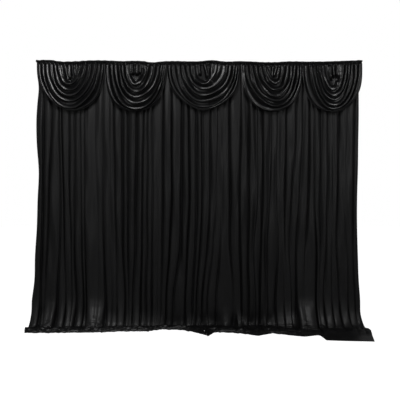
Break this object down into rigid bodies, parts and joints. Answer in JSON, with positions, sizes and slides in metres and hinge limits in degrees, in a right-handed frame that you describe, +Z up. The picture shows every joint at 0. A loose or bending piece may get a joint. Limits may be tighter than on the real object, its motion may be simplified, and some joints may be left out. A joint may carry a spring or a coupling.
{
  "type": "photo backdrop curtain",
  "caption": "Black satin photo backdrop curtain with gathered panels, a row of hanging swags and a hem that spreads on the floor.",
  "frame": {"origin": "middle of the heading's top edge, where the curtain is held", "axes": "+X along the heading to the viewer's right, -Y towards the viewer, +Z up"},
  "size_m": [3.7097, 0.594, 2.9548],
  "materials": {
    "binding_cloth": "matt black woven binding",
    "drape_satin": "thin black satin, soft sheen",
    "swag_satin": "thin black satin, bright sheen on the folds"
  },
  "bodies": {
    "root": {"heading_binding": "binding_cloth", "panel_left": "drape_satin", "panel_right": "drape_satin", "swag_1": "swag_satin", "swag_2": "swag_satin", "swag_3": "swag_satin", "swag_4": "swag_satin", "swag_5": "swag_satin"}
  },
  "joints": []
}
